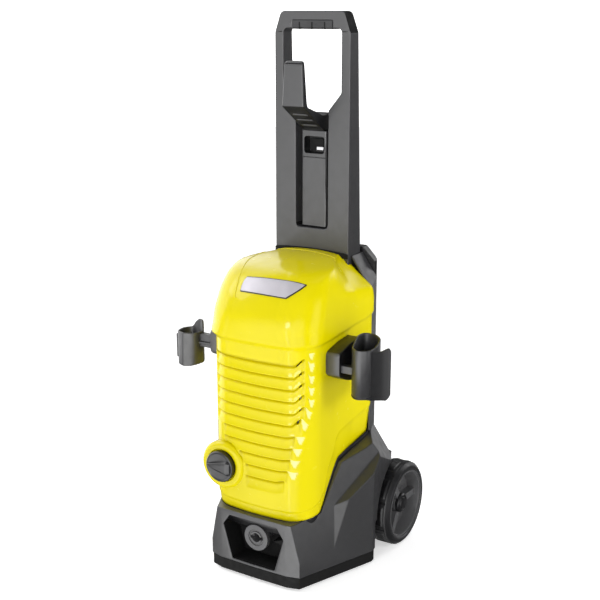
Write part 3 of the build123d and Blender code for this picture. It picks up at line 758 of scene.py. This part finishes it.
def closed_outline(corners, steps=6):
    """Closed plan outline from (x, y, corner radius) points."""
    out = []
    for before, here, after in zip(corners[-1:] + corners[:-1], corners, corners[1:] + corners[:1]):
        a, p, b = Vector(before[:2]), Vector(here[:2]), Vector(after[:2])
        reach = min(here[2], (a - p).length / 2.1, (b - p).length / 2.1)
        start = p + (a - p).normalized() * reach
        end = p + (b - p).normalized() * reach
        for i in range(steps + 1):
            t = i / steps
            out.append(start * (1 - t) ** 2 + p * 2 * t * (1 - t) + end * t * t)
    return out


def drawn_in(points, by):
    """Closed outline moved inwards."""
    out = []
    for a, p, b in zip(points[-1:] + points[:-1], points, points[1:] + points[:1]):
        along = (b - a).normalized()
        out.append(p + Vector((-along.y, along.x)) * by)
    return out


def sheath(name, corners, wall, low, high, body="housing", slot="grey_plastic"):
    """Upright pocket with a rounded rim and foot. Its rim and foot heights depend on the place."""
    outer = closed_outline(corners)
    rings = []
    for inset, rise in ((3.2, 0), (1, 0.6), (0.2, 1.8), (0, 3.5)):
        rings.append([(q.x, q.y, low(q) + rise) for q in drawn_in(outer, inset)])
    rings.append([(q.x, q.y, high(q) - 1.2) for q in outer])
    for inset, drop in ((0.35, 0.35), (wall / 2, 0), (wall - 0.35, 0.35), (wall, 1.2)):
        rings.append([(q.x, q.y, high(p) - drop) for p, q in zip(outer, drawn_in(outer, inset))])
    rings.append([(q.x, q.y, low(p) + 3) for p, q in zip(outer, drawn_in(outer, wall))])
    count = len(outer)
    verts = [v for ring in rings for v in ring]
    faces = ring_faces(len(rings), count)
    last = (len(rings) - 1) * count
    faces += [tuple(range(count)), tuple(range(last, last + count))]
    return add_mesh(name, verts, faces, slot, body)


def curved_plate(name, line, wall, low, high, slot="grey_plastic"):
    """Upright plate along a plan line. Its lower and upper edges depend on the share of the way along."""
    points = smooth_line([(x, y, 0) for x, y in line], 6)
    verts, faces = [], []
    count, levels = len(points), 9
    for side in (-1, 1):
        for i, p in enumerate(points):
            along = (points[min(i + 1, count - 1)] - points[max(i - 1, 0)]).normalized()
            off = Vector((-along.y, along.x, 0)) * side * wall / 2
            share = i / (count - 1)
            for k in range(levels):
                z = low(share) + (high(share) - low(share)) * k / (levels - 1)
                verts.append((p.x + off.x, p.y + off.y, z))
    size = count * levels
    for layer in (0, size):
        faces += [tuple(layer + i for i in face) for face in sheet_faces(count, levels)]
    rim = [i * levels for i in range(count)] + [(count - 1) * levels + k for k in range(1, levels)]
    rim += [i * levels + levels - 1 for i in range(count - 2, -1, -1)]
    rim += [k for k in range(levels - 2, 0, -1)]
    for a, b in zip(rim, rim[1:] + rim[:1]):
        faces.append((a, b, b + size, a + size))
    plate = add_mesh(name, verts, faces, slot, "housing")
    return round_edges(plate, min(0.9, wall / 3), 3, 40)


def mount_plate(side):
    """Rounded plate on the cover's flank with the arm that carries a holder."""
    name = "right" if side > 0 else "left"
    outer = 117 if side > 0 else 125
    profile = closed_outline([(-92, 345, 7), (-92, 381, 7), (-60, 389, 12), (-24, 394, 8), (-24, 326, 12),
                              (-60, 329, 20)])
    levels = [(88, 0), (outer - 1.6, 0), (outer - 0.5, 0.5), (outer, 1.6)]
    rings = [[(side * x, q.x, q.y) for q in drawn_in(profile, -inset)] for x, inset in levels]
    count = len(profile)
    verts = [v for ring in rings for v in ring]
    last = (len(rings) - 1) * count
    faces = [tuple(range(count)), tuple(range(last, last + count))] + ring_faces(len(rings), count)
    plate = add_mesh("mount_plate_" + name, verts, faces, "black_plastic", "housing")
    # Painted light: the plate's front-facing faces get the lighter coupling grey, as if lit from the front.
    second_finish(plate, "coupling_grey", lambda place, normal: normal.y < -0.7)
    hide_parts("bracket_" + name)
    reach = 137 if side > 0 else 150
    low, high = (350, 362) if side > 0 else (349, 371)
    box_piece("mount_arm_" + name, (side * (outer - 2), side * reach), (-86, -75), (low, high),
              "grey_plastic", "housing")
    if side < 0:
        box_piece("mount_rib_left", (-150, -120), (-89, -86), (355, 358.5), "grey_plastic", "housing")


def box_piece(name, x, y, z, slot, body, width=1.0):
    """Block from its limits along each axis, with rounded edges."""
    verts = [(a, b, c) for a in x for b in y for c in z]
    faces = [(0, 1, 3, 2), (4, 5, 7, 6), (0, 1, 5, 4), (2, 3, 7, 6), (0, 2, 6, 4), (1, 3, 7, 5)]
    return round_edges(add_mesh(name, verts, faces, slot, body), width)


def lance_holder():
    """Socket for the lance with a front edge, a raised lip behind and a fin outside."""
    corners = [(-191, -78, 9), (-187, -99, 7), (-170, -106, 3), (-151, -98, 9), (-148, -76, 9),
               (-158, -63, 9), (-181, -63, 9)]
    socket = sheath("lance_socket", corners, 3.2, lambda p: 316 + 2.5 * smooth(p.x, -165, -150),
                    lambda p: 374 + 15 * smooth(p.y, -76, -64) * smooth(p.x, -182, -166))
    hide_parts("lance_holder")
    curved_plate("lance_fin", [(-199, -84), (-195, -76), (-186, -70)], 3,
                 lambda t: 320 + 3 * (1 - t), lambda t: 366 - 3 * (1 - t))


def gun_holder():
    """Open pocket for the spray gun with a swept wing outside."""
    corners = [(137, -86, 9), (123, -44, 9), (124, -25, 7), (142, -25, 8), (159, -42, 10),
               (166, -66, 10), (165, -90, 5), (151, -100, 8)]
    pocket = sheath("gun_pocket", corners, 2.8, lambda p: 318, lambda p: 395 + 5 * smooth(p.y, -80, -40))
    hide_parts("gun_holder")
    curved_plate("gun_wing", [(162, -91), (169, -82), (178, -73), (185, -68), (190.5, -65)], 3.6,
                 lambda t: 313 + 4 * (1 - t) ** 3 + 14 * smooth(t, 0.7, 1.15),
                 lambda t: (394 - 4 * smooth(t, 0, 0.35) + 6 * smooth(t, 0.35, 0.85)
                            - 9 * smooth(t, 0.84, 1.1)),
                 "tyre_black")


# ---------------------------------------------------------------- wheels


def tread_height(x, angle):
    """Radius of the tread at one place: plain bands between framed windows."""
    cell = (angle * TREAD_BLOCKS / (2 * math.pi)) % 1
    across = (x - TREAD_MIDDLE) / 11
    along = (cell - 0.5) / 0.34
    frame_at = max(abs(across), abs(along) ** 3)
    window = 1 - smooth(frame_at, 0.6, 0.7)
    joint = 1 - smooth(min(cell, 1 - cell), 0.012, 0.03)
    return TYRE_RADIUS - 1.5 * window - 1.3 * joint - 1.1 * smooth(frame_at, 0.95, 1.05)


def tyre(side):
    """Tyre with framed windows round its tread and a stepped shoulder."""
    name = "right" if side > 0 else "left"
    section = [(113.5, 58.2), (113, 66), (113.6, 69.5), (115, 71)]
    tread = [115.6 + 1.05 * i for i in range(27)]
    outer = [(144.2, 71), (146, 69.8), (147.2, 68), (149.2, 66.6), (150.4, 65), (151, 62.5), (150.6, 58.2)]
    steps = 360
    _, centre_y, centre_z = WHEEL_CENTRE
    verts, faces = [], []
    for i in range(steps):
        a = 2 * math.pi * i / steps
        ring = section + [(x, tread_height(x, a)) for x in tread] + outer
        for x, r in ring:
            verts.append((side * x, centre_y + r * math.cos(a), centre_z + r * math.sin(a)))
    count = len(section) + len(tread) + len(outer)
    for i in range(steps):
        j = (i + 1) % steps
        for k in range(count):
            m = (k + 1) % count
            faces.append((i * count + k, i * count + m, j * count + m, j * count + k))
    piece = add_mesh("tyre_" + name + "_tread", verts, faces, "tyre_black", "wheel_" + name)
    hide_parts("tyre_" + name)


def rim_bead(side):
    """Fine bright bead on the rim where it meets the tyre."""
    name = "right" if side > 0 else "left"
    section = [(149.4, 58.3), (150.9, 57.7), (151, 57.2), (150.4, 56.6), (149.4, 56.8)]
    profile = [(side * x, r) for x, r in section]
    lathe("rim_bead_" + name, profile + profile[:1], WHEEL_CENTRE, "x", "coupling_grey", "wheel_" + name, 144)


def hub_cap(side):
    """Domed cap with a fine ring groove."""
    name = "right" if side > 0 else "left"
    profile = [(137, 0.01), (137, 16.5), (142.6, 16.4), (145, 14), (145.2, 11.5), (144.4, 11), (144.4, 10),
               (145.6, 9.5), (146, 0.01)]
    profile = [(side * x, r) for x, r in rounded_profile(profile, 0.8)]
    cap = lathe("hub_cap_" + name + "_dome", profile, WHEEL_CENTRE, "x", "black_plastic", "wheel_" + name, 72)
    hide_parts("hub_cap_" + name)


# ---------------------------------------------------------------- the object


def hose_hook():
    """Hook for the hose with a ribbed underside; its downward and sideways faces get black plastic as painted
    shade.
    """
    hook = from_cad("hose_hook", 2.2)
    low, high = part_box("hose_hook")
    middle = (low.x + high.x) / 2
    for corner in hook.data.vertices:
        rise = (corner.co.z - low.z) / (high.z - low.z)
        corner.co.x = middle + (corner.co.x - middle) * (1 - 0.16 * smooth(rise, 0.35, 1))
    # Painted shade: faces pointing down or sideways get black plastic.
    second_finish(hook, "black_plastic", lambda place, normal: normal.z < -0.3 or abs(normal.x) > 0.7)


def mast_frame():
    """Handle frame whose upper slanted side faces get near-black rubber as a painted dark reflection."""
    mast = from_cad("mast_frame", 1.8)
    # Painted dark reflection: side faces slanting upward get near-black rubber.
    second_finish(mast, "rubber", lambda place, normal: abs(normal.x) > 0.6 and normal.z > 0.15)


def channel_panel():
    """Panel in the handle's channel; the faces inside its pocket get black plastic as painted shade."""
    panel = from_cad("channel_panel", 0.6)
    front = min(face.center.y for face in panel.data.polygons) / MM
    # Painted shade: faces inside the pocket get black plastic.
    second_finish(panel, "black_plastic",
                  lambda place, normal: 658 < place.z < 696 and abs(place.x) < 21 and place.y > front + 1)


def grip_groove_shades():
    """Three thin dark bars that mark the soft grip's grooves with painted shade."""
    low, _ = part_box("grip_insert")
    # Painted shade: dark bars where the grooves fall in shadow.
    for i in range(3):
        x = -22.5 + 22.5 * i
        box_piece("grip_notch_%d" % (i + 1), (x - 1.2, x + 1.2), (low.y / MM - 0.25, low.y / MM + 2),
                  (low.z / MM - 0.2, low.z / MM + 11), "rubber", "handle", 0.15)


# CAD nodes that are shown with rounded edges, and each one's rounding in millimetres
ROUNDED = {
    "base_housing": 1.4, "front_feet": 1.0, "outlet_coupling": 0.7, "rear_frame": 1.0, "rear_cover": 1.0,
    "cable_gland": 0.6, "mast_back": 0.4, "grip_insert": 0.6, "latch_tongue": 0.3, "water_inlet": 0.6,
    "cover_screws": 0.4, "mast_screws": 0.4,
}
SLOT_OF = {part["node"]: part["material_slot"] for part in frame["record"]["subparts"]}
MATERIALS = make_materials()

for node_name, node_object in nodes.items():
    node_object.data.materials.clear()
    node_object.data.materials.append(MATERIALS[SLOT_OF[node_name]])

for node_name, edge_width in ROUNDED.items():
    from_cad(node_name, edge_width)
from_cad("outlet_recess", 0.6, "rubber")
from_cad("base_tray", 1.6, "rubber")
from_cad("handle_catch", 0.5, "rubber")
for side_name in ("left", "right"):
    from_cad("rim_" + side_name, 0.9, "coupling_grey")

cover_surface = yellow_cover()
cap_seam(cover_surface)
badge(cover_surface, 1.2, 0.0, 1.2, "badge_tray", "black_plastic", "badge_backing")
badge(cover_surface, 0, 1.2, 1.0, "badge_face", "silver_plate", "badge_plate")
switch_pod()
switch_knob()
lance_holder()
gun_holder()
# Painted shade: black sheet in the gap under the cover's lower edge.
cover_gap_shade()
# Painted shade: dark strip in the gap between the cap and the mast.
mast_gap_shade()
mast_frame()
hose_hook()
channel_panel()
grip_groove_shades()
for flank_side in (1, -1):
    mount_plate(flank_side)
    tyre(flank_side)
    rim_bead(flank_side)
    hub_cap(flank_side)


# ---------------------------------------------------------------- stage, light and camera


def stage_ring(name, line, glow):
    """Pale round surface about the object, from (radius, height) points in metres."""
    steps = 64
    verts = []
    for radius, high in line:
        for i in range(steps):
            a = 2 * math.pi * i / steps
            verts.append((radius * math.cos(a), radius * math.sin(a), high - 0.0005))
    faces = ring_faces(len(line), steps)
    if line[0][1] == 0:
        faces.append(tuple(range(steps)))
    mesh = bpy.data.meshes.new(name)
    mesh.from_pydata(verts, [], faces)
    surface = bpy.data.objects.new(name, mesh)
    bpy.context.scene.collection.objects.link(surface)
    material = bpy.data.materials.new("pale_" + name)
    material.use_nodes = True
    shader = material.node_tree.nodes["Principled BSDF"]
    shader.inputs["Base Color"].default_value = (0.9, 0.9, 0.9, 1)
    shader.inputs["Roughness"].default_value = 0.8
    shader.inputs["Emission Color"].default_value = (1, 1, 1, 1)
    shader.inputs["Emission Strength"].default_value = glow
    mesh.materials.append(material)
    surface.visible_glossy = False
    return surface


def floor():
    """Pale round floor, and a wall round it that only the camera sees, so it shades nothing."""
    stage_ring("floor", [(2, 0), (7, 0)], 0.5)
    wall = stage_ring("backdrop", [(6.9, -0.01), (6.9, 9)], 1.0)
    wall.visible_diffuse = False
    wall.visible_shadow = False
    wall.visible_transmission = False


def area_light(name, place, target, size, power, mirrored=True):
    """Soft rectangular light aimed at a point, with or without a reflection in glossy parts."""
    data = bpy.data.lights.new(name, "AREA")
    data.shape = "RECTANGLE"
    data.size, data.size_y = size
    data.energy = power
    light = bpy.data.objects.new(name, data)
    light.location = place
    light.rotation_euler = (Vector(target) - Vector(place)).to_track_quat("-Z", "Y").to_euler()
    light.visible_glossy = mirrored
    bpy.context.scene.collection.objects.link(light)


def studio_world():
    """Surroundings: dim, with soft panels and a low strip light in front."""
    world = bpy.data.worlds.new("studio")
    world.use_nodes = True
    tree = world.node_tree
    place = tree.nodes.new("ShaderNodeTexCoord").outputs["Generated"]

    def remap(value, low, high, first, last):
        node = tree.nodes.new("ShaderNodeMapRange")
        node.inputs["From Min"].default_value = low
        node.inputs["From Max"].default_value = high
        node.inputs["To Min"].default_value = first
        node.inputs["To Max"].default_value = last
        tree.links.new(value, node.inputs["Value"])
        return node.outputs["Result"]

    def towards(direction):
        node = tree.nodes.new("ShaderNodeVectorMath")
        node.operation = "DOT_PRODUCT"
        node.inputs[1].default_value = Vector(direction).normalized()
        tree.links.new(place, node.inputs[0])
        return node.outputs["Value"]

    def combine(operation, first, second):
        node = tree.nodes.new("ShaderNodeMath")
        node.operation = operation
        tree.links.new(first, node.inputs[0])
        tree.links.new(second, node.inputs[1])
        return node.outputs["Value"]

    left_edge = remap(towards((0.995, 0.1, 0)), -0.11, -0.07, 0, 1)
    right_edge = remap(towards((-0.99, -0.14, 0)), 0.02, 0.07, 0, 1)
    below = remap(towards((0, 0, 1)), -0.02, 0.02, STRIP_POWER, 0)
    strip = combine("MULTIPLY", combine("MULTIPLY", left_edge, right_edge), below)
    background = tree.nodes["Background"]
    strength = strip
    for direction, *edge in PANELS:
        strength = combine("ADD", strength, remap(towards(direction), *edge))
    tree.links.new(strength, background.inputs["Strength"])
    background.inputs["Color"].default_value = (1, 1, 1, 1)
    bpy.context.scene.world = world


def lights():
    """Soft studio light: a key in front, a high softbox on the left and two fills."""
    area_light("key", (0.3, -1.82, 0.79), (0, 0, 0.3), (0.4, 0.4), 6.5)
    area_light("softbox", (-1.5, -0.9, 1.8), (0, 0, 0.45), (0.9, 0.9), 9)
    area_light("high", (0.9, 0.6, 2.2), (0, 0, 0.4), (1.0, 1.0), 7, mirrored=False)
    area_light("right", (2.0, -0.1, 1.0), (0, 0, 0.3), (0.6, 0.6), 15, mirrored=False)


def camera():
    """Camera in front, to the right and a little above."""
    data = bpy.data.cameras.new("camera")
    data.lens = 64.8
    data.sensor_width = 36
    view = bpy.data.objects.new("camera", data)
    view.location = (0.878, -1.448, 0.883)
    view.rotation_euler = (math.radians(75), 0, math.radians(31.5))
    bpy.context.scene.collection.objects.link(view)
    bpy.context.scene.camera = view


floor()
studio_world()
lights()
bpy.context.scene.view_settings.view_transform = "Standard"
camera()
